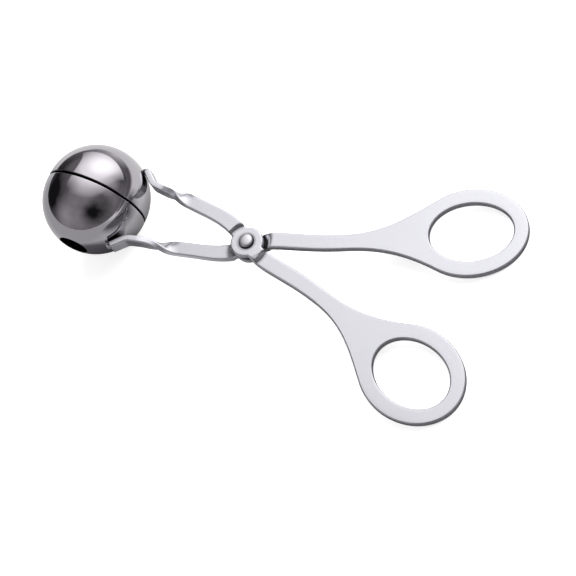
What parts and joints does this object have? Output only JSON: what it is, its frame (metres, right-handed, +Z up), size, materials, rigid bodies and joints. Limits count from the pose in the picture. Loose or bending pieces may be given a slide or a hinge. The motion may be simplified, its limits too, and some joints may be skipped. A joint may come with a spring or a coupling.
{
  "type": "meatball maker tongs",
  "caption": "Scissor-action steel tongs with finger loops; crossed arms riveted at a pivot close hollow half-sphere cups into a ball to shape minced meat.",
  "frame": {"origin": "middle of the footprint, on the table that the tongs lie on", "axes": "+X along the tongs from the ball to the finger loops, +Y across towards the rear arm's loop and the upper cup, +Z up"},
  "size_m": [0.1776, 0.0878, 0.0392],
  "materials": {
    "arm_steel": "satin, faint lengthwise grain",
    "cup_steel": "mirror polished",
    "weld_steel": "as welded, lightly ground",
    "rivet_steel": "polished"
  },
  "bodies": {
    "rear_lever": {"rear_arm": "arm_steel", "lower_cup": "cup_steel", "lower_cup_weld": "weld_steel", "pivot_rivet": "rivet_steel", "pivot_washer": "rivet_steel"},
    "front_lever": {"front_arm": "arm_steel", "upper_cup": "cup_steel", "upper_cup_weld": "weld_steel"}
  },
  "joints": [
    {"name": "jaw_pivot", "type": "hinge", "parent": "rear_lever", "child": "front_lever", "pos_m": [-0.00452, 0, 0.01208], "axis": [-0.1155, 0, -0.9933], "range_deg": [-0.5, 50]}
  ]
}
